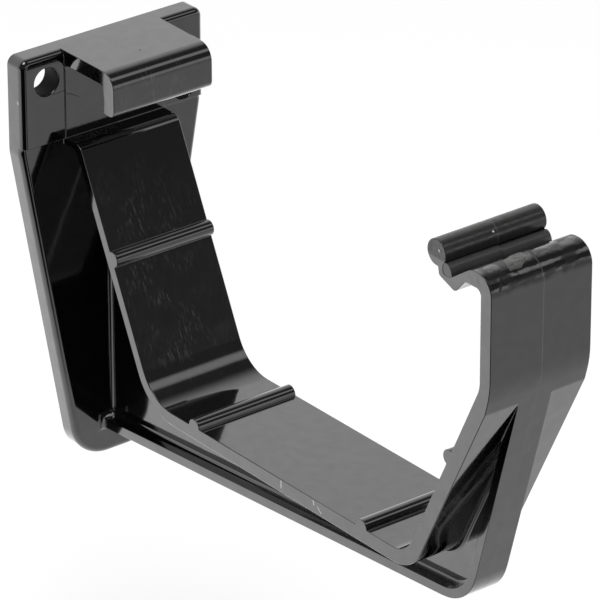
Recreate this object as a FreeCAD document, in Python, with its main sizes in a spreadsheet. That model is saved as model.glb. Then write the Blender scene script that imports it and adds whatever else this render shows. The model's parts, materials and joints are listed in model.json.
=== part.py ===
"""Gutter bracket: one moulded piece that screws to a fascia board and cradles a square-line gutter.

The bracket's own frame: X runs along the gutter and, but for its screw holes, the bracket is the same on
both sides of X = 0; the back of the fascia plate is the plane Y = 0, the gutter lies in front of it
towards -Y, and Z = 0 is level with the upper screw hole. Sizes are millimetres. Depths are measured
forwards from the fascia board, and drops downwards from Z = 0.
"""
import FreeCAD, Part
import math
import os

import Sketcher

SIZES = {
    # fascia plate, which stands out beside the strap by a wing on each side
    "wing_width": 9.25,
    "plate_height": 83.4,
    "plate_thickness": 3.8,
    "plate_top": 5.1,
    "head_height": 18.4,
    "head_corner": 1.7,
    "head_step": 0.6,
    "head_step_lift": 1.2,
    "shoulder_round": 6.0,
    "plate_taper": 10.0,
    "foot_round": 7.8,
    "plate_edge_round": 1.2,
    # screw holes, the left one higher than the right one
    "screw_bore": 5.3,
    "screw_rim": 0.25,
    "left_screw_shift": 0.8,
    "right_screw_land": 0.15,
    # hook over the back edge of the gutter
    "hook_reach": 19.1,
    "hook_thickness": 2.8,
    "hook_drop": 8.3,
    "lip_thickness": 3.2,
    "hook_round": 3.1,
    "lip_front_round": 1.5,
    "lip_back_round": 0.6,
    "hook_root_round": 0.8,
    "face_pad": 0.25,
    # strap under the gutter
    "strap_width": 21.8,
    "strap_top": 12.0,
    "strap_top_thickness": 1.25,
    "seat_back": 8.85,
    "seat_floor": 54.9,
    "floor_back": 29.1,
    "front_lean": 18.75,
    "front_bend": 15.9,
    "gutter_depth": 119.35,
    "back_wall": 2.1,
    "floor_wall_back": 2.3,
    "floor_wall_front": 2.9,
    "front_wall": 2.75,
    "seat_back_round": 2.3,
    "floor_back_round": 9.0,
    "floor_front_round": 5.4,
    "front_bend_round": 5.0,
    "front_outer_round": 18.0,
    "bend_run": 4.3,
    "bend_run_round": 3.0,
    "strap_root_round": 2.4,
    # ribs that touch the gutter
    "rib_radius": 1.5,
    "back_rib_drop": 31.0,
    "floor_rib_back": 41.4,
    "floor_rib_inset": 12.0,
    "front_rib_drop": 31.8,
    # clip over the front edge of the gutter
    "clip_top": 5.15,
    "clip_crown": 2.5,
    "clip_shoulder_round": 3.7,
    "clip_arch": 2.2,
    "clip_arch_depth": 4.0,
    "clip_arch_round": 1.2,
    "nub_back": 6.55,
    "nub_drop": 0.65,
    "nub_round": 1.0,
    "neck_back": 10.75,
    "neck_foot": 0.95,
    "neck_round": 0.8,
    "groove_front": 7.8,
    "groove_back": 9.65,
    "groove_floor": 1.5,
    "groove_round": 0.7,
    "bead_back": 11.35,
    "bead_height": 4.82,
    "bead_radius": 2.41,
    # outer flange and web
    "flange_width": 7.1,
    "flange_thickness": 1.9,
    "flange_foot": 5.6,
    "flange_nose": 64.45,
    "nose_setback": 10.75,
    "flange_nose_round": 9.5,
    "flange_lap": 1.0,
    "web_thickness": 2.2,
    "web_fillet": 0.8,
    "root_fillet": 1.1,
}


TOUCH = 1e-4


class Term:
    """A size, or a sum worked out from sizes, kept both as a number and as a formula of the sheet."""

    def __init__(self, value, text):
        self.value = value
        self.text = text

    @staticmethod
    def of(other):
        return other if isinstance(other, Term) else Term(float(other), repr(float(other)))

    def join(self, other, sign, value):
        return Term(value, f"({self.text} {sign} {Term.of(other).text})")

    def __add__(self, other):
        return self.join(other, "+", self.value + Term.of(other).value)

    def __sub__(self, other):
        return self.join(other, "-", self.value - Term.of(other).value)

    def __mul__(self, other):
        return self.join(other, "*", self.value * Term.of(other).value)

    def __truediv__(self, other):
        return self.join(other, "/", self.value / Term.of(other).value)

    def __neg__(self):
        return self * -1.0

    def tan(self):
        return Term(math.tan(math.radians(self.value)), f"tan({self.text} * 1 deg)")


class Sizes:
    """The sheet of driving sizes; each size is read as a Term."""

    def __init__(self, document):
        self.sheet = document.addObject("Spreadsheet::Sheet", "Sizes")
        for row, (name, value) in enumerate(SIZES.items(), start=1):
            self.sheet.set(f"A{row}", name)
            self.sheet.set(f"B{row}", str(value))
            self.sheet.setAlias(f"B{row}", name)
        document.recompute()

    def __getattr__(self, name):
        return Term(float(self.sheet.get(name)), f"Sizes.{name}")


def bind(sketch, constraint, name, term):
    """Add a dimension to a sketch and tie it to the sheet."""
    index = sketch.addConstraint(constraint)
    sketch.renameConstraint(index, name)
    sketch.setExpression(f"Constraints.{name}", term.text)


def new_sketch(body, name, plane, reverse=False):
    """Start a sketch on one of the body's origin planes."""
    sketch = body.newObject("Sketcher::SketchObject", name)
    support = [item for item in body.Origin.OriginFeatures if item.Role == plane][0]
    sketch.AttachmentSupport = [(support, "")]
    sketch.MapMode = "FlatFace"
    sketch.MapReversed = reverse
    return sketch


def side_sketch(body, name):
    """Start a sketch of a profile seen from the side: its x is depth and its y is height."""
    return new_sketch(body, name, "YZ_Plane", reverse=True)


class Corner:
    """One corner of an outline, with the rounding that it gets."""

    def __init__(self, across, up, rounding=None):
        self.across = Term.of(across)
        self.up = Term.of(up)
        self.rounding = rounding

    def point(self):
        return FreeCAD.Vector(self.across.value, self.up.value, 0)


def fillet_arc(before, corner, after, radius):
    """The arc that rounds a corner, its two tangent points, and whether it turns left."""
    back = (before - corner).normalize()
    ahead = (after - corner).normalize()
    half = back.getAngle(ahead) / 2
    reach = radius / math.tan(half)
    start = corner + back * reach
    end = corner + ahead * reach
    centre = corner + (back + ahead).normalize() * (radius / math.sin(half))
    left = (corner - before).cross(after - corner).z > 0
    first, last = (start, end) if left else (end, start)
    angles = [math.atan2(tip.y - centre.y, tip.x - centre.x) for tip in (first, last)]
    circle = Part.Circle(centre, FreeCAD.Vector(0, 0, 1), radius)
    return Part.ArcOfCircle(circle, angles[0], angles[1]), start, end, left


def draw_outline(sketch, corners, label="Corner"):
    """Draw a closed outline of straight runs through its corners, with tangent arcs at the rounded ones."""
    count = len(corners)
    spots = [corner.point() for corner in corners]
    starts = list(spots)
    ends = list(spots)
    arcs = [None] * count
    turns = [True] * count
    marks = []
    for index, corner in enumerate(corners):
        mark = sketch.addGeometry(Part.Point(spots[index]), True)
        marks.append(mark)
        for axis, kind, term in (("x", "DistanceX", corner.across), ("y", "DistanceY", corner.up)):
            if term.value == 0:
                sketch.addConstraint(Sketcher.Constraint("PointOnObject", mark, 1, -2 if axis == "x" else -1))
            else:
                dimension = Sketcher.Constraint(kind, -1, 1, mark, 1, term.value)
                bind(sketch, dimension, f"{label}{index}{axis}", term)
        if corner.rounding is not None:
            shape, starts[index], ends[index], turns[index] = fillet_arc(
                spots[index - 1], spots[index], spots[(index + 1) % count], corner.rounding.value)
            arcs[index] = sketch.addGeometry(shape)
            radius = Sketcher.Constraint("Radius", arcs[index], corner.rounding.value)
            bind(sketch, radius, f"{label}{index}r", corner.rounding)
    for index in range(count):
        after = (index + 1) % count
        line = sketch.addGeometry(Part.LineSegment(ends[index], starts[after]))
        for place, tip in ((index, 1), (after, 2)):
            if arcs[place] is None:
                sketch.addConstraint(Sketcher.Constraint("Coincident", line, tip, marks[place], 1))
                continue
            sketch.addConstraint(Sketcher.Constraint("PointOnObject", marks[place], 1, line))
            leaving = tip == 1
            arc_tip = 2 if leaving == turns[place] else 1
            sketch.addConstraint(Sketcher.Constraint("Tangent", line, tip, arcs[place], arc_tip))


def draw_circle(sketch, across, up, radius, label):
    """Draw a circle about a point given by its two distances from the origin."""
    centre = FreeCAD.Vector(across.value, up.value, 0)
    circle = sketch.addGeometry(Part.Circle(centre, FreeCAD.Vector(0, 0, 1), radius.value))
    bind(sketch, Sketcher.Constraint("DistanceX", -1, 1, circle, 3, across.value), f"{label}x", across)
    if up.value == 0:
        sketch.addConstraint(Sketcher.Constraint("PointOnObject", circle, 3, -1))
    else:
        bind(sketch, Sketcher.Constraint("DistanceY", -1, 1, circle, 3, up.value), f"{label}y", up)
    bind(sketch, Sketcher.Constraint("Radius", circle, radius.value), f"{label}r", radius)


def pad(body, name, sketch, length, symmetric=True):
    """Give a sketch its thickness: to both sides of its plane, or to the front of it."""
    feature = body.newObject("PartDesign::Pad", name)
    feature.Profile = sketch
    if symmetric:
        feature.SideType = "Symmetric"
    feature.setExpression("Length", length.text)
    body.Document.recompute()
    return feature


def edge_names(feature, wanted):
    """Names of the edges of a feature whose sample points all pass a test."""
    names = []
    for index, edge in enumerate(feature.Shape.Edges, start=1):
        if all(wanted(point) for point in edge.discretize(7)):
            names.append(f"Edge{index}")
    return names


def round_edges(body, name, feature, edges, radius):
    """Round the named edges of a feature."""
    fillet = body.newObject("PartDesign::Fillet", name)
    fillet.Base = (feature, edges)
    fillet.setExpression("Radius", radius.text)
    body.Document.recompute()
    return fillet


def plate_half(size):
    """Half the width of the plate's head."""
    return size.strap_width / 2 + size.wing_width


def head_bottom(size):
    """Height of the step where the plate's thick head ends."""
    return size.plate_top - size.head_height + size.head_step_lift


def head_face(size):
    """Depth of the head's front face."""
    return size.plate_thickness + size.head_step


def make_plate(body, size):
    """The fascia plate: a wide head that tapers to a rounded foot, with a rounded front edge."""
    half = plate_half(size)
    shoulder = size.plate_top - size.head_height
    foot = size.plate_top - size.plate_height
    foot_half = half - (size.plate_height - size.head_height) * size.plate_taper.tan()
    outline = [
        Corner(half, size.plate_top, size.head_corner),
        Corner(-half, size.plate_top, size.head_corner),
        Corner(-half, shoulder, size.shoulder_round),
        Corner(-foot_half, foot, size.foot_round),
        Corner(foot_half, foot, size.foot_round),
        Corner(half, shoulder, size.shoulder_round),
    ]
    sketch = new_sketch(body, "PlateOutline", "XZ_Plane")
    draw_outline(sketch, outline)
    plate = pad(body, "Plate", sketch, size.plate_thickness, symmetric=False)
    front = -size.plate_thickness.value
    edges = edge_names(plate, lambda point: abs(point.y - front) < TOUCH)
    return round_edges(body, "PlateEdge", plate, edges, size.plate_edge_round)


def make_head(body, size):
    """The plate's head, a little thicker than the rest, with its top and sides rounded at the front."""
    half = plate_half(size)
    outline = [
        Corner(half, size.plate_top, size.head_corner),
        Corner(-half, size.plate_top, size.head_corner),
        Corner(-half, head_bottom(size)),
        Corner(half, head_bottom(size)),
    ]
    sketch = new_sketch(body, "HeadOutline", "XZ_Plane")
    draw_outline(sketch, outline)
    head = pad(body, "Head", sketch, head_face(size), symmetric=False)
    front = -head_face(size).value
    side = half.value
    step = head_bottom(size).value
    edges = edge_names(head, lambda point: abs(point.y - front) < TOUCH
                       and (abs(abs(point.x) - side) < TOUCH or point.z > step + TOUCH))
    return round_edges(body, "HeadEdge", head, edges, size.plate_edge_round)


def pad_profile(body, name, outline, width):
    """A bar of the given width, the same on both sides of X = 0, with this outline in the side view."""
    sketch = side_sketch(body, f"{name}Outline")
    draw_outline(sketch, outline)
    return pad(body, name, sketch, width)


def hook_outline(size):
    """Slab and down-turned lip that hold the back edge of the gutter, with the pad that carries them."""
    inside = size.plate_thickness / 2
    face = head_face(size) + size.face_pad
    under = size.plate_top - size.hook_thickness
    tip = size.plate_top - size.hook_drop
    inner = size.hook_reach - size.lip_thickness
    return [
        Corner(inside, size.plate_top),
        Corner(size.hook_reach, size.plate_top, size.hook_round),
        Corner(size.hook_reach, tip, size.lip_front_round),
        Corner(inner, tip, size.lip_back_round),
        Corner(inner, under, size.hook_root_round),
        Corner(face, under, size.hook_root_round),
        Corner(face, -size.strap_top - size.strap_top_thickness / 2),
        Corner(inside, -size.strap_top - size.strap_top_thickness / 2),
    ]


def clip_outline(size):
    """Top of the front wall: it arches back over the gutter's edge, dips to a nub and carries the bead."""
    inner = size.gutter_depth
    outer = size.gutter_depth + size.front_wall
    return [
        Corner(inner, size.clip_arch, size.clip_arch_round),
        Corner(inner - size.clip_arch_depth, size.clip_arch, size.clip_arch_round),
        Corner(inner - size.nub_back, -size.nub_drop, size.nub_round),
        Corner(inner - size.neck_back, size.neck_foot, size.neck_round),
        Corner(inner - size.bead_back, size.bead_height),
        Corner(inner - size.groove_back, size.bead_height),
        Corner(inner - size.groove_back, size.groove_floor, size.groove_round),
        Corner(inner - size.groove_front, size.groove_floor, size.groove_round),
        Corner(inner - size.clip_crown, size.clip_top, size.clip_shoulder_round),
        Corner(outer, size.clip_top, size.clip_shoulder_round),
    ]


def floor_front(size):
    """Depth at which the strap's floor meets its leaning front wall."""
    return size.gutter_depth - size.front_lean


def nose_depth(size):
    """Depth of the flange's nose, set back from the front wall."""
    return size.gutter_depth - size.nose_setback


def along(start, end, up):
    """Depth of the straight line between two corners at a given height."""
    share = (up - start.up) / (end.up - start.up)
    return start.across + (end.across - start.across) * share


def flange_front(size, up):
    """Depth of the flange's front face at a given height; below its bend the front wall shares it."""
    bend = Corner(size.gutter_depth + size.front_wall, -size.front_bend)
    nose = Corner(nose_depth(size), -size.flange_nose)
    return along(bend, nose, up)


def strap_outline(size):
    """The cradle from the fascia plate, down, along the floor and up the front, with the clip on top."""
    inside = size.plate_thickness / 2
    floor = -size.seat_floor
    toe = floor_front(size)
    leave = -size.front_bend - size.bend_run
    under_back = floor - size.floor_wall_back
    under_front = floor - size.floor_wall_front
    outer = size.gutter_depth + size.front_wall
    return [
        Corner(inside, -size.strap_top),
        Corner(size.seat_back, -size.strap_top, size.seat_back_round),
        Corner(size.floor_back, floor, size.floor_back_round),
        Corner(toe, floor, size.floor_front_round),
        Corner(size.gutter_depth, -size.front_bend, size.front_bend_round),
        *clip_outline(size),
        Corner(outer, -size.front_bend, size.front_outer_round),
        Corner(flange_front(size, leave), leave, size.bend_run_round),
        Corner(toe + size.front_wall * 0.65, under_front, size.floor_front_round + size.front_wall),
        Corner(size.floor_back - size.back_wall * 0.45, under_back, size.floor_back_round + size.back_wall),
        Corner(size.seat_back - size.back_wall * 0.7, -size.strap_top - size.strap_top_thickness,
               size.strap_root_round),
        Corner(inside, -size.strap_top - size.strap_top_thickness),
    ]


def draw_ribs(sketch, size):
    """Four small round ribs across the strap, centred on the face that the gutter rests on."""
    seat = strap_outline(size)
    back = -size.back_rib_drop
    front = -size.front_rib_drop
    toe_rib = floor_front(size) - size.floor_rib_inset
    draw_circle(sketch, along(seat[1], seat[2], back), back, size.rib_radius, "BackRib")
    draw_circle(sketch, size.floor_rib_back, -size.seat_floor, size.rib_radius, "RearFloorRib")
    draw_circle(sketch, toe_rib, -size.seat_floor, size.rib_radius, "FrontFloorRib")
    draw_circle(sketch, along(seat[3], seat[4], front), front, size.rib_radius, "FrontRib")


def flange_root(size):
    """Drop to the underside of the flange where it leaves the plate."""
    return size.plate_height - size.plate_top - size.flange_foot


def flange_outline(size):
    """The outer flange: from the foot of the plate, along below the strap and up to the front wall."""
    inside = size.plate_thickness / 2
    outer = size.gutter_depth + size.front_wall
    thick = size.flange_thickness
    top = size.flange_lap - size.bend_run - size.front_bend
    lean = (outer - nose_depth(size)) / (size.flange_nose - size.front_bend)
    rise = (flange_root(size) - size.flange_nose) / (nose_depth(size) - inside)
    return [
        Corner(inside, -flange_root(size)),
        Corner(nose_depth(size), -size.flange_nose, size.flange_nose_round),
        Corner(flange_front(size, top), top),
        Corner(flange_front(size, top) - thick, top),
        Corner(nose_depth(size) - thick + thick * lean, thick - size.flange_nose - thick * rise,
               size.flange_nose_round - thick),
        Corner(inside, thick - flange_root(size)),
    ]


def web_outline(size):
    """The web: it fills the side view between the plate, the strap and the flange."""
    inside = size.plate_thickness / 2
    outer = size.gutter_depth + size.front_wall
    half = size.flange_thickness / 2
    skin = size.floor_wall_back / 2
    return [
        Corner(inside, -size.strap_top - size.strap_top_thickness / 2),
        Corner(size.seat_back - size.back_wall / 2, -size.strap_top - size.strap_top_thickness / 2),
        Corner(size.floor_back - size.back_wall / 4, -size.seat_floor - skin,
               size.floor_back_round + size.back_wall / 2),
        Corner(floor_front(size) + size.front_wall / 4, -size.seat_floor - skin,
               size.floor_front_round + size.front_wall / 2),
        Corner(outer - size.front_wall / 2, -size.front_bend),
        Corner(nose_depth(size) - half, half - size.flange_nose, size.flange_nose_round - half),
        Corner(inside, half - flange_root(size)),
    ]


def drill_screw_holes(body, size):
    """Two holes through the wings of the head, the left one level with Z = 0 and the right one low down."""
    wing = size.strap_width / 2 + size.wing_width / 2
    left = size.left_screw_shift - wing
    low = head_bottom(size) + size.right_screw_land + size.screw_rim + size.screw_bore / 2
    sketch = new_sketch(body, "ScrewHoles", "XZ_Plane")
    sketch.setExpression("AttachmentOffset.Base.z", head_face(size).text)
    draw_circle(sketch, left, Term.of(0), size.screw_bore / 2, "LeftHole")
    draw_circle(sketch, wing, low, size.screw_bore / 2, "RightHole")
    body.Document.recompute()
    hole = body.newObject("PartDesign::Hole", "Holes")
    hole.Profile = sketch
    hole.DepthType = "ThroughAll"
    hole.setExpression("Diameter", size.screw_bore.text)
    body.Document.recompute()
    front = -head_face(size).value
    reach = size.screw_bore.value / 2 + TOUCH
    rims = edge_names(hole, lambda point: abs(point.y - front) < TOUCH
                      and min(math.hypot(point.x - left.value, point.z),
                              math.hypot(point.x - wing.value, point.z - low.value)) < reach)
    return round_edges(body, "HoleRims", hole, rims, size.screw_rim)


def make_bracket(document, size):
    """The whole bracket as one body."""
    body = document.addObject("PartDesign::Body", "Bracket")
    body.Label = "gutter_bracket"
    make_plate(body, size)
    make_head(body, size)
    pad_profile(body, "Hook", hook_outline(size), size.strap_width)
    pad_profile(body, "Strap", strap_outline(size), size.strap_width)
    flange = pad_profile(body, "Flange", flange_outline(size), size.flange_width)
    face = -size.plate_thickness.value
    foot = -size.seat_floor.value
    root = edge_names(flange, lambda point: abs(point.y - face) < TOUCH and point.z < foot
                      and abs(point.x) < size.flange_width.value)
    round_edges(body, "FlangeRoot", flange, root, size.root_fillet)
    web = pad_profile(body, "Web", web_outline(size), size.web_thickness)
    side = size.web_thickness.value / 2
    seams = edge_names(web, lambda point: abs(abs(point.x) - side) < TOUCH)
    round_edges(body, "WebFillet", web, seams, size.web_fillet)
    ribs = side_sketch(body, "RibOutline")
    draw_ribs(ribs, size)
    pad(body, "Ribs", ribs, size.strap_width)
    bead = side_sketch(body, "BeadOutline")
    draw_circle(bead, size.gutter_depth - size.bead_back, size.bead_height, size.bead_radius, "Bead")
    pad(body, "Bead", bead, size.strap_width)
    drill_screw_holes(body, size)
    return body


def check(document):
    """Stop unless every object is sound and each body is one valid solid."""
    for item in document.Objects:
        faults = [state for state in item.State if state in ("Invalid", "Error")]
        if faults:
            raise RuntimeError(f"{item.Name}: {faults}")
    for body in document.findObjects("PartDesign::Body"):
        shape = body.Shape
        if shape.isNull() or not shape.isValid() or len(shape.Solids) != 1:
            raise RuntimeError(f"{body.Label}: not one valid solid")


def main():
    document = FreeCAD.newDocument("GutterBracket")
    size = Sizes(document)
    make_bracket(document, size)
    document.recompute()
    check(document)
    os.makedirs("parts", exist_ok=True)
    for body in document.findObjects("PartDesign::Body"):
        body.Shape.exportStep(f"parts/{body.Label}.step")
        box = body.Shape.BoundBox
        print(body.Label, "volume", round(body.Shape.Volume, 1), "faces", len(body.Shape.Faces),
              "box", [round(value, 2) for value in (box.XMin, box.XMax, box.YMin, box.YMax, box.ZMin, box.ZMax)])


main()
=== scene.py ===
"""Looks of the gutter bracket: glossy black moulded PVC-U, photographed on white.

Every place is in metres in the bracket's own frame: X runs along the gutter, the gutter lies towards -Y, and
Z = 0 is level with the upper screw hole.
"""

import json
import logging
import math
from dataclasses import dataclass, field
from enum import Enum
from typing import Any

import bmesh
import bpy
from mathutils import Matrix, Vector, noise
from mathutils.bvhtree import BVHTree
from mathutils.kdtree import KDTree

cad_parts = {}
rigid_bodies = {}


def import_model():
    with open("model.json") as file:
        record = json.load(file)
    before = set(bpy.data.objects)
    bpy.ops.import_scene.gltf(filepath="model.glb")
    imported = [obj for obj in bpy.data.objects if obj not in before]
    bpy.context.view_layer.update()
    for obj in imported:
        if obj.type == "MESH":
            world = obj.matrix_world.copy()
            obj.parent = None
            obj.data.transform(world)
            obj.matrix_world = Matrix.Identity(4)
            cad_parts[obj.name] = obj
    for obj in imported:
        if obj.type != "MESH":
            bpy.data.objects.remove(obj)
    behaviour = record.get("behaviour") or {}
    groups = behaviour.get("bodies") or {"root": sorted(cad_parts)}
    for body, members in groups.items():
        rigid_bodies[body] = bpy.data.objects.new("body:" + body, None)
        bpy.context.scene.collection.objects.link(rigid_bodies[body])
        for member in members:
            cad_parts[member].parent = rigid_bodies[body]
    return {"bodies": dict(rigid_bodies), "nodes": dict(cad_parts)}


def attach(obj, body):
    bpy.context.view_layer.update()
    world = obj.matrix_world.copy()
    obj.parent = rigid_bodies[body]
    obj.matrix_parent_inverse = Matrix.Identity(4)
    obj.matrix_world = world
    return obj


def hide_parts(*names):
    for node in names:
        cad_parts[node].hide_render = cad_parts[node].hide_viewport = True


MM = 0.001
NODE = "gutter_bracket"
BODY = "root"

PHOTO_TARGET = Vector((-1.586, -60.0, -25.433)) * MM

MATH = "ShaderNodeMath"
VECTOR = "ShaderNodeVectorMath"
RAMP = "ShaderNodeMapRange"
NOISE = "ShaderNodeTexNoise"
MIX = "ShaderNodeMix"
SPLIT = "ShaderNodeSeparateXYZ"
PLACE = "ShaderNodeTexCoord"
SMOOTH = {"interpolation_type": "SMOOTHSTEP"}
WHITE = (1.0, 1.0, 1.0, 1.0)

Triple = tuple[float, float, float]

log = logging.getLogger("bracket")


class RayKind(Enum):
    """The kinds of ray that a surface or the sky can answer differently."""

    CAMERA = "Is Camera Ray"
    GLOSSY = "Is Glossy Ray"
    THROUGH = "Is Transmission Ray"


def linear(hex_colour: str) -> tuple[float, float, float, float]:
    """Turn an sRGB hex colour into linear RGBA.

    Args:
        hex_colour: Six hex digits after a hash sign.

    Returns:
        Red, green and blue as linear values, and an alpha of one.
    """
    parts = [int(hex_colour[place:place + 2], 16) / 255 for place in (1, 3, 5)]
    red, green, blue = (part / 12.92 if part <= 0.04045 else ((part + 0.055) / 1.055) ** 2.4
                        for part in parts)
    return red, green, blue, 1.0


def find_socket(sockets: Any, key: str | int) -> Any:
    """Find a socket of a node by its place, its identifier or its name.

    Args:
        sockets: The inputs or the outputs of a node.
        key: The socket's place, identifier or name.

    Returns:
        The socket.
    """
    if isinstance(key, int):
        return sockets[key]
    for socket in sockets:
        if socket.identifier == key:
            return socket
    return sockets[key]


def add_node(tree: bpy.types.NodeTree, kind: str, inputs: dict[str | int, Any] | None = None,
             **options: Any) -> bpy.types.Node:
    """Add a node with its settings and links.

    Args:
        tree: The tree that takes the node.
        kind: The node's type.
        inputs: Input sockets, each with the value that it holds or the output socket that feeds it.
        options: The node's own options, such as its operation.

    Returns:
        The new node.
    """
    node = tree.nodes.new(kind)
    for name, value in options.items():
        setattr(node, name, value)
    for key, value in (inputs or {}).items():
        socket = find_socket(node.inputs, key)
        if isinstance(value, bpy.types.NodeSocket):
            tree.links.new(value, socket)
        else:
            socket.default_value = value
    return node


def highest(tree: bpy.types.NodeTree, masks: list[Any]) -> Any:
    """Join masks.

    Args:
        tree: The tree that takes the nodes.
        masks: The sockets of at least one mask.

    Returns:
        A socket with the highest of them.
    """
    total = masks[0]
    for mask in masks[1:]:
        total = add_node(tree, MATH, {0: total, 1: mask}, operation="MAXIMUM").outputs[0]
    return total


def product(tree: bpy.types.NodeTree, shares: list[Any]) -> Any:
    """Multiply masks and numbers.

    Args:
        tree: The tree that takes the nodes.
        shares: At least one socket, and further sockets or numbers.

    Returns:
        A socket with their product.
    """
    total = shares[0]
    for share in shares[1:]:
        total = add_node(tree, MATH, {0: total, 1: share}, operation="MULTIPLY").outputs[0]
    return total


@dataclass(frozen=True)
class Stroke:
    """A short mark on the surface, from one point to another, in millimetres."""

    start: Triple
    end: Triple
    width: float
    soft: tuple[float, float] = (0.6, 1.4)

    def mask(self, tree: bpy.types.NodeTree, place: Any) -> Any:
        """Mask the mark.

        Args:
            tree: The tree that takes the nodes.
            place: The position's socket.

        Returns:
            A socket that is one on the mark and zero off it.
        """
        start = Vector(self.start) * MM
        run = Vector(self.end) * MM - start
        inner, outer = (self.width * MM / 2 * share for share in self.soft)
        away = add_node(tree, VECTOR, {0: place, 1: tuple(start)}, operation="SUBTRACT").outputs[0]
        share = add_node(tree, VECTOR, {0: away, 1: tuple(run / run.length_squared)}, operation="DOT_PRODUCT")
        held = add_node(tree, "ShaderNodeClamp", {"Value": share.outputs["Value"]}).outputs[0]
        nearest = add_node(tree, VECTOR, {0: tuple(run), "Scale": held}, operation="SCALE").outputs[0]
        gap = add_node(tree, VECTOR, {0: away, 1: nearest}, operation="DISTANCE").outputs["Value"]
        return add_node(tree, RAMP, {"Value": gap, "From Min": outer, "From Max": inner}, **SMOOTH).outputs[0]


@dataclass(frozen=True)
class Zone:
    """A part of space closed off by soft limits.

    Each limit is an axis, the place where the zone starts to show and the place where it shows in full.
    Places are in millimetres, and with a unit of one they are the parts of a direction.
    """

    limits: tuple[tuple[str, float, float], ...]
    unit: float = MM

    def mask(self, tree: bpy.types.NodeTree, place: Any) -> Any:
        """Mask the zone.

        Args:
            tree: The tree that takes the nodes.
            place: The socket of the position or direction.

        Returns:
            A socket that is one in the zone and zero out of it.
        """
        parts = add_node(tree, SPLIT, {0: place}).outputs
        return product(tree, [
            add_node(tree, RAMP, {"Value": parts[axis], "From Min": outside * self.unit,
                                  "From Max": inside * self.unit}, **SMOOTH).outputs[0]
            for axis, outside, inside in self.limits
        ])


@dataclass(frozen=True)
class Clouds:
    """Random clouds of a real size in millimetres along the three axes, shown between two levels."""

    size: Triple
    detail: float
    levels: tuple[float, float] = (0.0, 1.0)
    thinnest: float = 0.0

    def height(self, tree: bpy.types.NodeTree, place: Any) -> Any:
        """Add the clouds as they are.

        Args:
            tree: The tree that takes the nodes.
            place: The position's socket.

        Returns:
            A socket that runs about one half.
        """
        size = tuple(part * MM for part in self.size)
        scaled = add_node(tree, VECTOR, {0: place, 1: size}, operation="DIVIDE").outputs[0]
        return add_node(tree, NOISE, {"Vector": scaled, "Scale": 1.0, "Detail": self.detail}).outputs[0]

    def mask(self, tree: bpy.types.NodeTree, place: Any) -> Any:
        """Add the clouds between their levels.

        Args:
            tree: The tree that takes the nodes.
            place: The position's socket.

        Returns:
            A socket that is one in the clouds and the thinnest share between them.
        """
        low, high = self.levels
        return add_node(tree, RAMP, {"Value": self.height(tree, place), "From Min": low, "From Max": high,
                                     "To Min": self.thinnest}, **SMOOTH).outputs[0]


def new_material(name: str) -> bpy.types.Material:
    """Make a material with an empty tree.

    Args:
        name: The finish's name.

    Returns:
        The material.
    """
    material = bpy.data.materials.new(name)
    material.use_nodes = True
    material.node_tree.nodes.clear()
    return material


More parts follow.
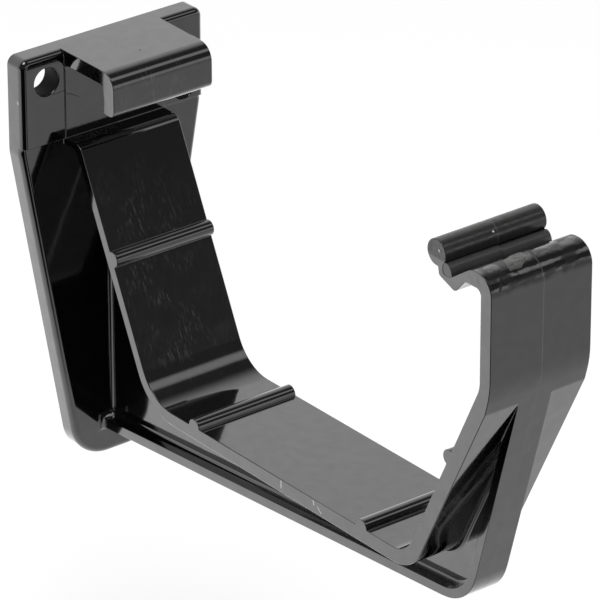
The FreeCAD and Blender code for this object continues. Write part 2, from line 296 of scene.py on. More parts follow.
@dataclass(frozen=True)
class MouldedPvc:
    """Injection-moulded black PVC-U, which gives the eye a deep black with a wet gloss.

    The polished mould leaves a skin that mirrors the studio, a little wavy where thick and thin walls meet.
    It is mottled round the gate and satin on the bead, whose top is lightened as a painted sheen. A pale
    hair line, a painted highlight over a small real step, marks where the mould's halves met, and handling
    has left hair scratches, dust and scuffs. The finest grain is drawn at 0.6 mm, as coarse as it has to be
    to show.
    """

    name: str = "injection_moulded_black_pvcu"
    body: str = "#070707"
    # Pale colour of the dust; the same colour also carries the painted highlight on the parting line and the
    # painted sheen on the bead's top.
    dust: str = "#8f8f8c"
    scuff: str = "#d8d8d6"
    ior: float = 1.54
    roughness: float = 0.1
    dull_roughness: float = 0.42
    skin_ior: float = 1.6
    skin_roughness: float = 0.045
    skin_clouds: Clouds = Clouds((2.6, 2.6, 2.6), 2.0, (0.3, 0.7), 0.88)
    waves: Clouds = Clouds((5.0, 5.0, 5.0), 1.0)
    wave_height: float = 0.022 * MM
    grain: Clouds = Clouds((0.6, 0.6, 0.6), 2.0)
    grain_height: float = 0.0005 * MM
    gate_end: Zone = Zone((("Y", -108.5, -112.0), ("Z", 0.8, 3.0)))
    ripples: Clouds = Clouds((1.9, 1.9, 1.9), 1.0)
    ripple_height: float = 0.09 * MM
    crown: Zone = Zone((("Y", -109.5, -110.5), ("Z", 1.0, 2.5), ("X", -10.85, -10.75), ("X", 10.85, 10.75)))
    crown_clouds: Clouds = Clouds((2.6, 1.9, 1.9), 3.0, (0.38, 0.6))
    crown_dullness: float = 0.85
    bead: Zone = Zone((("Z", 3.5, 4.2), ("Y", -111.2, -110.7), ("Y", -104.0, -105.0)))
    bead_clouds: Clouds = Clouds((0.9, 0.9, 0.9), 2.0, (0.3, 0.7), 0.7)
    bead_dullness: float = 0.92
    # Share of the pale colour on the bead's top: a painted sheen.
    bead_painted_sheen: float = 0.07
    seam_zone: Zone = Zone((("Y", -104.0, -106.0),))
    seam_faces: Zone = Zone((("Y", 0.3, 0.1),), unit=1.0)
    seam_across: float = 0.38 * MM
    seam_lean: float = 0.006
    seam_width: float = 0.16 * MM
    seam_soft: tuple[float, float] = (0.6, 1.6)
    seam_height: float = 0.03 * MM
    # Share of the pale colour on the parting line: a painted highlight of its lit step.
    seam_painted_highlight: float = 0.24
    dust_zone: Zone = Zone((("Y", -10.0, -14.0), ("Y", -80.0, -60.0)))
    dust_facing: Triple = (0.0, -0.904, 0.427)
    dust_turn: tuple[float, float] = (0.78, 0.92)
    dust_hairs: Clouds = Clouds((0.32, 1.7, 1.7), 3.0, (0.5, 0.72))
    dust_clumps: Clouds = Clouds((4.5, 4.5, 4.5), 2.0, (0.4, 0.62))
    dust_middle: float = -2.5 * MM
    dust_spread: tuple[float, float] = (3.0 * MM, 11.0 * MM)
    dust_sides: float = 0.25
    dust_level: float = 0.16
    dust_haze: float = 0.006
    weld_lines: tuple[Stroke, ...] = (
        Stroke((-13.4, -4.4, -2.85), (-11.0, -4.4, -2.7), 0.16),
        Stroke((-10.6, -4.65, -3.3), (-9.7, -4.65, -3.6), 0.2),
        Stroke((-9.7, -4.65, -3.6), (-8.0, -4.65, -4.6), 0.14),
        Stroke((-7.1, -119.7, 4.9), (-8.06, -121.1, 3.95), 0.5),
        Stroke((-8.06, -121.1, 3.95), (-8.9, -121.95, 2.5), 0.6),
        Stroke((1.2, -116.4, 4.8), (0.75, -118.0, 5.15), 1.1),
        Stroke((0.75, -118.0, 5.15), (0.35, -119.7, 4.9), 0.9),
        Stroke((-0.45, -12.7, 5.1), (0.0, -12.6, 5.1), 0.25),
    )
    scuffs: tuple[Stroke, ...] = (
        Stroke((-10.9, -66.4, -55.2), (-10.9, -66.4, -56.5), 0.24),
        Stroke((-10.9, -75.4, -55.3), (-10.9, -75.6, -56.0), 0.24),
        Stroke((-10.9, -76.6, -56.0), (-10.9, -77.6, -56.9), 0.18),
        Stroke((-20.15, -3.0, -2.9), (-20.15, -3.1, -3.2), 0.3),
        Stroke((-10.9, -108.6, 5.5), (-10.9, -108.8, 5.3), 0.25),
        Stroke((-0.45, -109.9, 6.2), (-0.35, -109.95, 6.2), 0.3),
        Stroke((0.55, -109.9, 3.3), (0.65, -110.1, 3.2), 0.3),
    )

    def seam_line(self, tree: bpy.types.NodeTree, place: Any) -> tuple[Any, Any]:
        """Find the mould's parting line, which runs down the front of the clip, the wall and the flange.

        Args:
            tree: The tree that takes the nodes.
            place: The position's socket.

        Returns:
            A socket that steps from zero to one across the line, for the real step, and one that is one on
            the line, where the painted highlight goes.
        """
        split = add_node(tree, SPLIT, {0: place})
        centre = add_node(tree, MATH, {0: split.outputs["Z"], 1: self.seam_lean, 2: self.seam_across},
                          operation="MULTIPLY_ADD").outputs[0]
        aside = add_node(tree, MATH, {0: split.outputs["X"], 1: centre}, operation="SUBTRACT").outputs[0]
        gap = add_node(tree, MATH, {0: aside}, operation="ABSOLUTE").outputs[0]
        half = self.seam_width / 2
        inner, outer = (half * share for share in self.seam_soft)
        step = add_node(tree, RAMP, {"Value": aside, "From Min": -half, "From Max": half},
                        **SMOOTH).outputs[0]
        # One on the parting line: the mask of its painted highlight.
        line = add_node(tree, RAMP, {"Value": gap, "From Min": outer, "From Max": inner}, **SMOOTH).outputs[0]
        normal = add_node(tree, "ShaderNodeNewGeometry").outputs["Normal"]
        shown = product(tree, [self.seam_zone.mask(tree, place), self.seam_faces.mask(tree, normal)])
        return product(tree, [step, shown]), product(tree, [line, shown])

    def relief(self, tree: bpy.types.NodeTree, place: Any, step: Any) -> Any:
        """Add the skin's relief: slow waves, a fine grain, the ripples round the gate and the parting line.

        Args:
            tree: The tree that takes the nodes.
            place: The position's socket.
            step: The socket of the parting line's step.

        Returns:
            The relief's height in metres.
        """
        layers = (
            [self.grain.height(tree, place), self.grain_height],
            [self.ripples.height(tree, place), self.ripple_height, self.gate_end.mask(tree, place)],
            [step, self.seam_height],
        )
        total = product(tree, [self.waves.height(tree, place), self.wave_height])
        for layer in layers:
            total = add_node(tree, MATH, {0: total, 1: product(tree, layer)}).outputs[0]
        return total

    def dusting(self, tree: bpy.types.NodeTree, place: Any) -> Any:
        """Add the dust and hair scratches that run down the cradle's back wall.

        Args:
            tree: The tree that takes the nodes.
            place: The position's socket.

        Returns:
            How much dust covers the black.
        """
        normal = add_node(tree, "ShaderNodeNewGeometry").outputs["Normal"]
        turned = add_node(tree, VECTOR, {0: normal, 1: self.dust_facing}, operation="DOT_PRODUCT")
        facing = add_node(tree, RAMP, {"Value": turned.outputs["Value"], "From Min": self.dust_turn[0],
                                       "From Max": self.dust_turn[1]}, **SMOOTH).outputs[0]
        across = add_node(tree, SPLIT, {0: place}).outputs["X"]
        shifted = add_node(tree, MATH, {0: across, 1: self.dust_middle}, operation="SUBTRACT").outputs[0]
        aside = add_node(tree, MATH, {0: shifted}, operation="ABSOLUTE").outputs[0]
        middle = add_node(tree, RAMP, {"Value": aside, "From Min": self.dust_spread[0],
                                       "From Max": self.dust_spread[1], "To Min": 1.0,
                                       "To Max": self.dust_sides}, **SMOOTH).outputs[0]
        marks = product(tree, [self.dust_hairs.mask(tree, place), self.dust_clumps.mask(tree, place), middle])
        haze = add_node(tree, MATH, {0: marks, 1: self.dust_level, 2: self.dust_haze},
                        operation="MULTIPLY_ADD").outputs[0]
        return product(tree, [haze, facing, self.dust_zone.mask(tree, place)])

    def build(self) -> bpy.types.Material:
        """Make the material.

        Returns:
            The finished material.
        """
        material = new_material(self.name)
        tree = material.node_tree
        place = add_node(tree, PLACE).outputs["Object"]
        step, line = self.seam_line(tree, place)
        height = self.relief(tree, place, step)
        bump = add_node(tree, "ShaderNodeBump",
                        {"Strength": 1.0, "Distance": 1.0, "Height": height}).outputs[0]
        scuffs = highest(tree, [stroke.mask(tree, place) for stroke in self.scuffs])
        welds = highest(tree, [stroke.mask(tree, place) for stroke in self.weld_lines])
        bead = product(tree, [self.bead.mask(tree, place), self.bead_clouds.mask(tree, place),
                              self.bead_dullness])
        crown = product(tree, [self.crown.mask(tree, place), self.crown_clouds.mask(tree, place),
                               self.crown_dullness])
        # Lightening towards the pale colour: real dust on the back wall, a painted highlight on the parting
        # line and a painted sheen on the bead's top.
        pale = highest(tree, [self.dusting(tree, place), product(tree, [line, self.seam_painted_highlight]),
                              product(tree, [bead, self.bead_painted_sheen])])
        dull = highest(tree, [scuffs, welds, bead, crown])
        glossy = add_node(tree, MATH, {0: 1.0, 1: dull}, operation="SUBTRACT").outputs[0]
        skin = product(tree, [glossy, self.skin_clouds.mask(tree, place)])
        gloss = add_node(tree, RAMP, {"Value": dull, "To Min": self.roughness, "To Max": self.dull_roughness})
        dust_and_sheen_mix = add_node(tree, MIX, {"Factor_Float": pale, "A_Color": linear(self.body),
                                     "B_Color": linear(self.dust)}, data_type="RGBA")
        worn = add_node(tree, MIX, {"Factor_Float": scuffs, "B_Color": linear(self.scuff),
                                    "A_Color": find_socket(dust_and_sheen_mix.outputs, "Result_Color")}, data_type="RGBA")
        shader = add_node(tree, "ShaderNodeBsdfPrincipled",
                          {"Base Color": find_socket(worn.outputs, "Result_Color"), "IOR": self.ior,
                           "Roughness": gloss.outputs[0], "Coat Weight": skin, "Coat IOR": self.skin_ior,
                           "Coat Roughness": self.skin_roughness, "Normal": bump, "Coat Normal": bump})
        add_node(tree, "ShaderNodeOutputMaterial", {"Surface": shader.outputs[0]})
        return material


@dataclass(frozen=True)
class PlainPvc:
    """The same PVC-U where no polished mould has touched it, an even surface with a grain of its own.

    Inside a cored screw hole it is a satin black made darker and dimmer as painted shade, on the groove's
    ridge a satin black lightened to grey as a painted sheen, with broad soft highlights, and where the gate
    was snapped off a dull grey spot.
    """

    name: str
    body: str
    roughness: float
    specular: float
    grain: Clouds
    grain_height: float

    def build(self) -> bpy.types.Material:
        """Make the material.

        Returns:
            The finished material.
        """
        material = new_material(self.name)
        tree = material.node_tree
        place = add_node(tree, PLACE).outputs["Object"]
        height = product(tree, [self.grain.height(tree, place), self.grain_height])
        bump = add_node(tree, "ShaderNodeBump",
                        {"Strength": 1.0, "Distance": 1.0, "Height": height}).outputs[0]
        shader = add_node(tree, "ShaderNodeBsdfPrincipled",
                          {"Base Color": linear(self.body), "Roughness": self.roughness,
                           "Specular IOR Level": self.specular, "Normal": bump})
        add_node(tree, "ShaderNodeOutputMaterial", {"Surface": shader.outputs[0]})
        return material


# A darker copy of the black with far less gloss for the screw holes: a satin cored surface that also paints
# the holes' shade.
CORED_PAINTED_SHADE_PVC = PlainPvc("cored_satin_pvcu_painted_shade", "#050505", roughness=0.55, specular=0.12,
                     grain=Clouds((0.5, 0.5, 0.5), 2.0), grain_height=0.001 * MM)
TORN_PVC = PlainPvc("stress_whitened_pvcu", "#50504f", roughness=0.25, specular=0.5,
                    grain=Clouds((1.8, 1.8, 1.8), 2.0), grain_height=0.4 * MM)
# The ridge's black lightened to grey: a painted sheen for its reflections of the white studio.
PAINTED_SHEEN_PVC = PlainPvc("satin_black_pvcu_painted_sheen", "#343434", roughness=0.36, specular=1.0,
                     grain=Clouds((1.6, 1.6, 1.6), 2.0), grain_height=0.08 * MM)


@dataclass
class Bracket:
    """The one moulded piece, with its edges softened as a mould leaves them."""

    node: bpy.types.Object
    finish: MouldedPvc = field(default_factory=MouldedPvc)
    # The screw holes' finish, darker and dimmer as painted shade.
    cored_painted_shade_finish: PlainPvc = CORED_PAINTED_SHADE_PVC
    bore_radius: float = 2.65 * MM
    bores: tuple[tuple[float, float], ...] = ((-14.725, 0.0), (15.525, -9.05))
    flat_angle: float = 0.4
    edge_angle: float = 34.0
    edge_round: float = 0.16 * MM
    edge_steps: int = 2
    sample_gap: float = 0.4 * MM
    room_share: float = 0.42
    beside_share: float = 0.5
    join_gap: float = 0.001 * MM
    bore_slack: float = 0.03 * MM

    def solid_shape(self) -> bmesh.types.BMesh:
        """Copy the solid's mesh, with its loose triangles joined and its flat faces made whole.

        Returns:
            A closed mesh whose sharp edges are marked.
        """
        shape = bmesh.new()
        shape.from_mesh(self.node.data)
        bmesh.ops.remove_doubles(shape, verts=shape.verts, dist=self.join_gap)
        bmesh.ops.dissolve_limit(shape, angle_limit=math.radians(self.flat_angle), verts=shape.verts,
                                 edges=shape.edges)
        for face in shape.faces:
            face.smooth = True
        for edge in shape.edges:
            edge.smooth = len(edge.link_faces) == 2 and edge.calc_face_angle() < math.radians(self.edge_angle)
        return shape

    def samples(self, edge: bmesh.types.BMEdge) -> list[Vector]:
        """Points along an edge, its two ends left out."""
        start, end = (vert.co for vert in edge.verts)
        count = max(1, round(edge.calc_length() / self.sample_gap))
        return [start.lerp(end, (step + 0.5) / count) for step in range(count)]

    def weigh_edges(self, shape: bmesh.types.BMesh) -> None:
        """Give each sharp edge the share of the rounding that the narrow faces beside it leave room for.

        Args:
            shape: The mesh, which gets the bevel weights.
        """
        layer = shape.edges.layers.float.new("bevel_weight_edge")
        spots = [(point, edge) for edge in shape.edges for point in self.samples(edge)]
        tree = KDTree(len(spots))
        for index, (point, _) in enumerate(spots):
            tree.insert(point, index)
        tree.balance()
        reach = self.edge_round / self.room_share
        for edge in shape.edges:
            if edge.smooth:
                continue
            along = (edge.verts[1].co - edge.verts[0].co).normalized()
            room = reach
            for point in self.samples(edge):
                for other, index, gap in tree.find_range(point, reach):
                    beside = abs((other - point).dot(along)) < self.beside_share * gap
                    if beside and not set(spots[index][1].verts) & set(edge.verts):
                        room = min(room, gap)
            edge[layer] = room / reach

    def settle(self, mesh: bpy.types.Mesh) -> None:
        """Lay the few points that a tight mitre throws out back on the solid.

        Args:
            mesh: The rounded mesh.
        """
        ground = bmesh.new()
        ground.from_mesh(self.node.data)
        surface = BVHTree.FromBMesh(ground)
        places = [vertex.co for vertex in ground.verts]
        spans = [(min(parts), max(parts)) for parts in zip(*places)]
        for vertex in mesh.vertices:
            nearest, _, _, gap = surface.find_nearest(vertex.co)
            spot = nearest if gap > self.edge_round / 2 else vertex.co
            vertex.co = [min(max(part, low), high) for part, (low, high) in zip(spot, spans)]
        ground.free()

    def dress_bores(self, mesh: bpy.types.Mesh) -> None:
        """Give the walls of the screw holes their own finish.

        Args:
            mesh: The rounded mesh, with the bores' material second.
        """
        for across, up in self.bores:
            centre = Vector((across * MM, 0.0, up * MM))
            for face in mesh.polygons:
                gaps = [((mesh.vertices[index].co - centre) * Vector((1.0, 0.0, 1.0))).length
                        for index in face.vertices]
                if max(gaps) < self.bore_radius + self.bore_slack:
                    # The bores get the darker, dimmer black that paints their shade.
                    face.material_index = 1

    def build(self) -> bpy.types.Object:
        """Make the piece that stands for the solid.

        Returns:
            The dressed piece.
        """
        shape = self.solid_shape()
        self.weigh_edges(shape)
        mesh = bpy.data.meshes.new("bracket_body")
        shape.to_mesh(mesh)
        shape.free()
        piece = bpy.data.objects.new("bracket_body", mesh)
        bpy.context.scene.collection.objects.link(piece)
        soften = piece.modifiers.new("moulded_edges", "BEVEL")
        soften.width = self.edge_round
        soften.segments = self.edge_steps
        soften.limit_method = "WEIGHT"
        soften.use_clamp_overlap = False
        soften.miter_outer = "MITER_ARC"
        level = piece.modifiers.new("even_shading", "WEIGHTED_NORMAL")
        level.mode = "FACE_AREA"
        level.keep_sharp = False
        bake(piece)
        self.settle(piece.data)
        piece.data.materials.clear()
        piece.data.materials.append(self.finish.build())
        piece.data.materials.append(self.cored_painted_shade_finish.build())
        self.dress_bores(piece.data)
        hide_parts(self.node.name)
        return carry(piece)


@dataclass
class GateStub:
    """The flat scar on the clip's shoulder where the sprue was snapped off.

    Its outline is seen from above, as X and the depth from the fascia in millimetres. Its rings run from the
    rim inwards, each with its share of the outline and its height over the shoulder.
    """

    shoulder: bpy.types.Object
    outline: tuple[tuple[float, float], ...] = ((-5.18, 117.9), (-5.59, 120.4), (-3.1, 120.5), (-0.4, 118.8),
                                                (0.05, 116.8), (-1.35, 116.15))
    finish: PlainPvc = TORN_PVC
    rings: tuple[tuple[float, float], ...] = ((1.0, -0.05 * MM), (0.93, 0.112 * MM), (0.8, 0.14 * MM),
                                              (0.4, 0.098 * MM))
    steps: int = 5
    jag: float = 0.16 * MM
    jag_length: float = 0.8 * MM
    overhead: float = 20.0 * MM

    def rim(self) -> list[Vector]:
        """Points round the scar, a little jagged.

        Returns:
            The points, level with X and Y only.
        """
        corners = [Vector((across, -depth, 0.0)) * MM for across, depth in self.outline]
        points = []
        for index, corner in enumerate(corners):
            after = corners[(index + 1) % len(corners)]
            for step in range(self.steps):
                spot = corner.lerp(after, step / self.steps)
                shift = noise.noise_vector(spot / self.jag_length)
                points.append(spot + Vector((shift.x, shift.y, 0.0)) * self.jag)
        return points

    def build(self) -> bpy.types.Object:
        """Make the scar: rings of points laid on the shoulder, the inner ones raised.

        Returns:
            The dressed piece.
        """
        shape = bmesh.new()
        ground = bmesh.new()
        ground.from_mesh(self.shoulder.data)
        surface = BVHTree.FromBMesh(ground)
        rim = self.rim()
        centre = sum(rim, Vector()) / len(rim)
        rings = []
        for share, lift in self.rings:
            ring = []
            for spot in rim:
                flat = centre.lerp(spot, share)
                hit = surface.ray_cast(Vector((flat.x, flat.y, self.overhead)), Vector((0.0, 0.0, -1.0)))[0]
                ring.append(shape.verts.new(hit + Vector((0.0, 0.0, lift))))
            rings.append(ring)
        for outer, inner in zip(rings, rings[1:]):
            for index in range(len(rim)):
                after = (index + 1) % len(rim)
                shape.faces.new((outer[index], outer[after], inner[after], inner[index]))
        shape.faces.new(rings[-1])
        shape.faces.new(list(reversed(rings[0])))
        bmesh.ops.recalc_face_normals(shape, faces=shape.faces)
        mesh = bpy.data.meshes.new("gate_stub")
        shape.to_mesh(mesh)
        shape.free()
        ground.free()
        mesh.materials.append(self.finish.build())
        piece = bpy.data.objects.new("gate_stub", mesh)
        bpy.context.scene.collection.objects.link(piece)
        return carry(piece)


@dataclass
class GrooveRidge:
    """Half of the low rounded ridge at the back of the clip's groove, swept along X by Geometry Nodes.

    It runs between its left and right ends, its middle lies at a depth from the fascia, its foot is a height,
    and its section is half an oval with a reach to either side and a rise.
    """

    name: str
    # The ridge's material, its black lightened to grey as a painted sheen.
    skin: bpy.types.Material
    left: float
    right: float
    depth: float = 110.45 * MM
    foot: float = 1.4 * MM
    reach: float = 1.45 * MM
    rise: float = 2.3 * MM
    arc_points: int = 24
    edge_angle: float = 40.0
    join_gap: float = 0.001 * MM

    def sweep_tree(self) -> bpy.types.NodeTree:
        """Make the tree that sweeps half an oval along a straight path.

        Returns:
            The tree, with its sizes as named inputs.
        """
        tree = bpy.data.node_groups.new("swept_ridge", "GeometryNodeTree")
        for label in ("Left end", "Right end", "Depth", "Foot", "Reach", "Rise"):
            tree.interface.new_socket(label, in_out="INPUT", socket_type="NodeSocketFloat")
        tree.interface.new_socket("Geometry", in_out="OUTPUT", socket_type="NodeSocketGeometry")
        sizes = add_node(tree, "NodeGroupInput").outputs
        back = add_node(tree, MATH, {0: sizes["Depth"], 1: -1.0}, operation="MULTIPLY").outputs[0]
        drop = add_node(tree, MATH, {0: sizes["Rise"], 1: -1.0}, operation="MULTIPLY").outputs[0]
        start, end = (add_node(tree, "ShaderNodeCombineXYZ",
                               {"X": sizes[label], "Y": back, "Z": sizes["Foot"]})
                      for label in ("Left end", "Right end"))
        path = add_node(tree, "GeometryNodeCurvePrimitiveLine",
                        {"Start": start.outputs[0], "End": end.outputs[0]})
        level = add_node(tree, "GeometryNodeSetCurveNormal", {"Curve": path.outputs[0]}, mode="Z_UP")
        arc = add_node(tree, "GeometryNodeCurveArc",
                       {"Resolution": self.arc_points, "Radius": 1.0, "Start Angle": 0.0,
                        "Sweep Angle": math.pi, "Connect Center": True})
        stretch = add_node(tree, "ShaderNodeCombineXYZ", {"X": sizes["Reach"], "Y": drop, "Z": 1.0})
        oval = add_node(tree, "GeometryNodeTransform", {"Geometry": arc.outputs["Curve"],
                                                        "Scale": stretch.outputs[0]})
        swept = add_node(tree, "GeometryNodeCurveToMesh",
                         {"Curve": level.outputs[0], "Profile Curve": oval.outputs[0], "Fill Caps": True})
        whole = add_node(tree, "GeometryNodeRealizeInstances", {"Geometry": swept.outputs[0]})
        dressed = add_node(tree, "GeometryNodeSetMaterial", {"Geometry": whole.outputs[0],
                                                             "Material": self.skin})
        add_node(tree, "NodeGroupOutput", {"Geometry": dressed.outputs[0]})
        return tree

    def build(self) -> bpy.types.Object:
        """Make the half ridge.

        Returns:
            The dressed piece.
        """
        piece = bpy.data.objects.new(self.name, bpy.data.meshes.new(self.name))
        bpy.context.scene.collection.objects.link(piece)
        sweep = piece.modifiers.new("sweep", "NODES")
        sweep.node_group = self.sweep_tree()
        sizes = {"Left end": self.left, "Right end": self.right, "Depth": self.depth, "Foot": self.foot,
                 "Reach": self.reach, "Rise": self.rise}
        for socket in sweep.node_group.interface.items_tree:
            if socket.in_out == "INPUT":
                sweep[socket.identifier] = sizes[socket.name]
        bake(piece)
        shape = bmesh.new()
        shape.from_mesh(piece.data)
        bmesh.ops.remove_doubles(shape, verts=shape.verts, dist=self.join_gap)
        bmesh.ops.recalc_face_normals(shape, faces=shape.faces)
        for face in shape.faces:
            face.smooth = True
        for edge in shape.edges:
            edge.smooth = edge.calc_face_angle() < math.radians(self.edge_angle)
        shape.to_mesh(piece.data)
        shape.free()
        return carry(piece)


def bake(piece: bpy.types.Object) -> None:
    """Turn a piece's modifiers into plain mesh.

    Args:
        piece: The piece, whose modifiers are removed.
    """
    graph = bpy.context.evaluated_depsgraph_get()
    mesh = bpy.data.meshes.new_from_object(piece.evaluated_get(graph), preserve_all_data_layers=True,
                                           depsgraph=graph)
    piece.modifiers.clear()
    piece.data = mesh


def carry(piece: bpy.types.Object) -> bpy.types.Object:
    """Fix a piece to the bracket's body.

    Args:
        piece: A finished piece.

    Returns:
        The same piece.
    """
    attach(piece, BODY)
    return piece


@dataclass
class Softbox:
    """A lamp with a square diffuser, aimed at the bracket."""

    name: str
    direction: Triple
    distance: float
    width: float
    height: float
    radiance: float

    def build(self, target: Vector) -> bpy.types.Object:
        """Make the lamp.

        Args:
            target: The point that the lamp faces.

        Returns:
            The lamp's object.
        """
        light = bpy.data.lights.new(self.name, "AREA")
        light.shape = "RECTANGLE"
        light.size = self.width
        light.size_y = self.height
        light.energy = self.radiance * math.pi * self.width * self.height
        lamp = bpy.data.objects.new(self.name, light)
        aim = Vector(self.direction).normalized()
        lamp.matrix_world = (Matrix.Translation(target + aim * self.distance)
                             @ aim.to_track_quat("Z", "Y").to_matrix().to_4x4())
        lamp.visible_camera = False
        bpy.context.scene.collection.objects.link(lamp)
        return lamp


@dataclass(frozen=True)
class Glow:
    """A soft light in the room that gloss shows, as the way to it and how far it fades out, in degrees."""

    way: Triple
    core: float
    edge: float
    radiance: float


@dataclass
class Studio:
    """A white sweep and soft lamps round the bracket, with the room dim above and on the camera's side."""

    target: Vector
    floor_height: float = -0.14
    floor_half: float = 3.0
    floor_glow: float = 0.38
    floor_rise: float = 0.7
    ambient: float = 0.62
    room: float = 0.1
    sweep: float = 0.88
    skirt: float = 0.95
    behind: Zone = Zone((("Y", 0.0, 0.5),), unit=1.0)
    low_front: Zone = Zone((("Z", 0.27, 0.18), ("X", -0.25, 0.1)), unit=1.0)
    floor_behind: Zone = Zone((("Y", -200.0, 80.0),))
    floor_before: Zone = Zone((("X", -30.0, -80.0), ("Y", -60.0, -120.0)))
    card: str = "#e6e6e6"
    lamps: tuple[Softbox, ...] = (
        Softbox("overhead_lamp", (-0.28, -0.22, 0.93), 0.95, 0.42, 0.42, 5.5),
    )
    glows: tuple[Glow, ...] = (
        Glow((0.554, -0.444, 0.704), 2.0, 11.0, 1.15),
        Glow((-0.28, -0.44, 0.85), 3.0, 12.0, 0.8),
    )

    def seen_by(self, tree: bpy.types.NodeTree, *kinds: RayKind) -> Any:
        """Tell whether a ray is of one of these kinds.

        Args:
            tree: The tree that takes the nodes.
            kinds: The kinds of ray.

        Returns:
            A socket that is one for those rays and zero for the rest.
        """
        path = add_node(tree, "ShaderNodeLightPath")
        return highest(tree, [path.outputs[kind.value] for kind in kinds])

    def mirrored_room(self, tree: bpy.types.NodeTree) -> Any:
        """Add what gloss shows: the sweep behind, the white skirt low in front, soft lamps and the dim room.

        Args:
            tree: The sky's tree.

        Returns:
            The room's brightness along a ray.
        """
        way = add_node(tree, PLACE).outputs["Generated"]
        white = highest(tree, [product(tree, [self.behind.mask(tree, way), self.sweep]),
                               product(tree, [self.low_front.mask(tree, way), self.skirt])])
        level = add_node(tree, MATH, {0: white, 1: self.room}).outputs[0]
        for glow in self.glows:
            aim = tuple(Vector(glow.way).normalized())
            closeness = add_node(tree, VECTOR, {0: way, 1: aim}, operation="DOT_PRODUCT").outputs["Value"]
            shine = add_node(tree, RAMP, {"Value": closeness, "From Min": math.cos(math.radians(glow.edge)),
                                          "From Max": math.cos(math.radians(glow.core)),
                                          "To Max": glow.radiance}, **SMOOTH).outputs[0]
            level = add_node(tree, MATH, {0: level, 1: shine}).outputs[0]
        return level

    def light_sky(self) -> None:
        """Make the sky: white behind the bracket, even light on it, and the mirrored room in its gloss."""
        world = bpy.data.worlds.new("studio")
        bpy.context.scene.world = world
        world.use_nodes = True
        tree = world.node_tree
        tree.nodes.clear()
        glossy = self.seen_by(tree, RayKind.GLOSSY)
        direct = self.seen_by(tree, RayKind.CAMERA, RayKind.THROUGH)
        lit = add_node(tree, MIX, {"A_Float": self.ambient, "B_Float": self.mirrored_room(tree),
                                   "Factor_Float": glossy}, data_type="FLOAT").outputs["Result"]
        level = add_node(tree, MIX, {"A_Float": lit, "B_Float": 1.0, "Factor_Float": direct},
                         data_type="FLOAT").outputs["Result"]
        sky = add_node(tree, "ShaderNodeBackground", {"Color": WHITE, "Strength": level})
        add_node(tree, "ShaderNodeOutputWorld", {"Surface": sky.outputs[0]})

    def floor_material(self) -> bpy.types.Material:
        """Make matt white card, which the camera sees as white apart from the bracket's shadow.

        Gloss shows it bright behind the bracket, and dark on the front left, where the camera stands.

        Returns:
            The floor's material.
        """
        material = new_material("matt_white_card")
        tree = material.node_tree
        place = add_node(tree, PLACE).outputs["Object"]
        matt = add_node(tree, "ShaderNodeBsdfDiffuse", {"Color": linear(self.card)})
        camera = self.seen_by(tree, RayKind.CAMERA, RayKind.THROUGH)
        glossy = self.seen_by(tree, RayKind.GLOSSY)
        back = product(tree, [self.floor_behind.mask(tree, place), self.floor_rise, glossy])
        glow = add_node(tree, MATH, {0: camera, 1: self.floor_glow, 2: back},
                        operation="MULTIPLY_ADD").outputs[0]
        lift = add_node(tree, "ShaderNodeEmission", {"Color": WHITE, "Strength": glow})
        white = add_node(tree, "ShaderNodeAddShader", {0: matt.outputs[0], 1: lift.outputs[0]})
        black = add_node(tree, "ShaderNodeEmission", {"Strength": 0.0})
        hidden = product(tree, [self.floor_before.mask(tree, place), glossy])
        card = add_node(tree, "ShaderNodeMixShader", {0: hidden, 1: white.outputs[0], 2: black.outputs[0]})
        add_node(tree, "ShaderNodeOutputMaterial", {"Surface": card.outputs[0]})
        return material

    def lay_floor(self) -> bpy.types.Object:
        """Lay the plain pale floor.

        Returns:
            The floor, which isn't part of the object.
        """
        half = self.floor_half
        mesh = bpy.data.meshes.new("floor")
        mesh.from_pydata([(-half, -half, 0), (half, -half, 0), (half, half, 0), (-half, half, 0)], [],
                         [(0, 1, 2, 3)])
        mesh.transform(Matrix.Translation((0, 0, self.floor_height)))
        mesh.materials.append(self.floor_material())
        floor = bpy.data.objects.new("floor", mesh)
        bpy.context.scene.collection.objects.link(floor)
        return floor

    def build(self) -> None:
        """Set up the floor, the sky and the lamps."""
        self.lay_floor()
        self.light_sky()
        for lamp in self.lamps:
            lamp.build(self.target)
        log.info("studio: floor, sky and %d lamps", len(self.lamps))


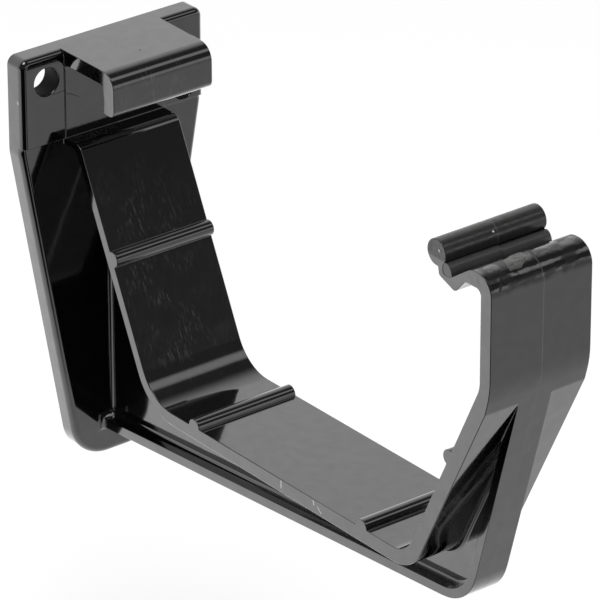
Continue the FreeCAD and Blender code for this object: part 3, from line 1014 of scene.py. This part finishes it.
@dataclass
class Viewpoint:
    """The photograph's camera: a long lens, from the front left and above."""

    target: Vector
    azimuth: float = -38.218
    elevation: float = 26.382
    roll: float = -0.087
    distance: float = 0.99194
    focal_pixels: float = 5727.4
    frame_pixels: float = 600.0
    sensor: float = 36.0
    clip_start: float = 0.01

    def build(self) -> bpy.types.Object:
        """Make the camera and give it to the scene.

        Returns:
            The camera's object.
        """
        turn = math.radians(self.azimuth)
        rise = math.radians(self.elevation)
        tilt = math.radians(self.roll)
        back = Vector((math.sin(turn) * math.cos(rise), -math.cos(turn) * math.cos(rise), math.sin(rise)))
        side = Vector((math.cos(turn), math.sin(turn), 0.0))
        over = back.cross(side)
        right = side * math.cos(tilt) + over * math.sin(tilt)
        up = over * math.cos(tilt) - side * math.sin(tilt)
        lens = bpy.data.cameras.new("photo_camera")
        lens.sensor_width = self.sensor
        lens.lens = self.focal_pixels * self.sensor / self.frame_pixels
        lens.clip_start = self.clip_start
        camera = bpy.data.objects.new("photo_camera", lens)
        bpy.context.scene.collection.objects.link(camera)
        axes = Matrix((right, up, back)).transposed().to_4x4()
        camera.matrix_world = Matrix.Translation(self.target + back * self.distance) @ axes
        bpy.context.scene.camera = camera
        return camera


def clear_stray_objects(kept: set[bpy.types.Object]) -> None:
    """Remove what a new file starts with, such as its cube.

    Args:
        kept: The objects that stay.
    """
    for item in list(bpy.data.objects):
        if item not in kept:
            bpy.data.objects.remove(item)


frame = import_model()


def main() -> None:
    """Build the bracket's looks, the studio and the camera."""
    logging.basicConfig(level=logging.INFO, format="%(name)s: %(message)s")
    clear_stray_objects(set(frame["nodes"].values()) | set(frame["bodies"].values()))
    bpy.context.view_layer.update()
    body = Bracket(frame["nodes"][NODE]).build()
    # The ridge's material, its black lightened to grey as a painted sheen.
    skin = PAINTED_SHEEN_PVC.build()
    pieces = [
        body,
        GateStub(body).build(),
        GrooveRidge("groove_ridge_left", skin, left=-10.82 * MM, right=0.3 * MM).build(),
        GrooveRidge("groove_ridge_right", skin, left=0.38 * MM, right=10.82 * MM, rise=2.1 * MM).build(),
    ]
    for piece in pieces:
        log.info("%s: %d faces", piece.name, len(piece.data.polygons))
    Studio(PHOTO_TARGET).build()
    Viewpoint(PHOTO_TARGET).build()
    bpy.context.scene.view_settings.view_transform = "Standard"
    bpy.context.view_layer.update()


if __name__ == "__main__":
    main()
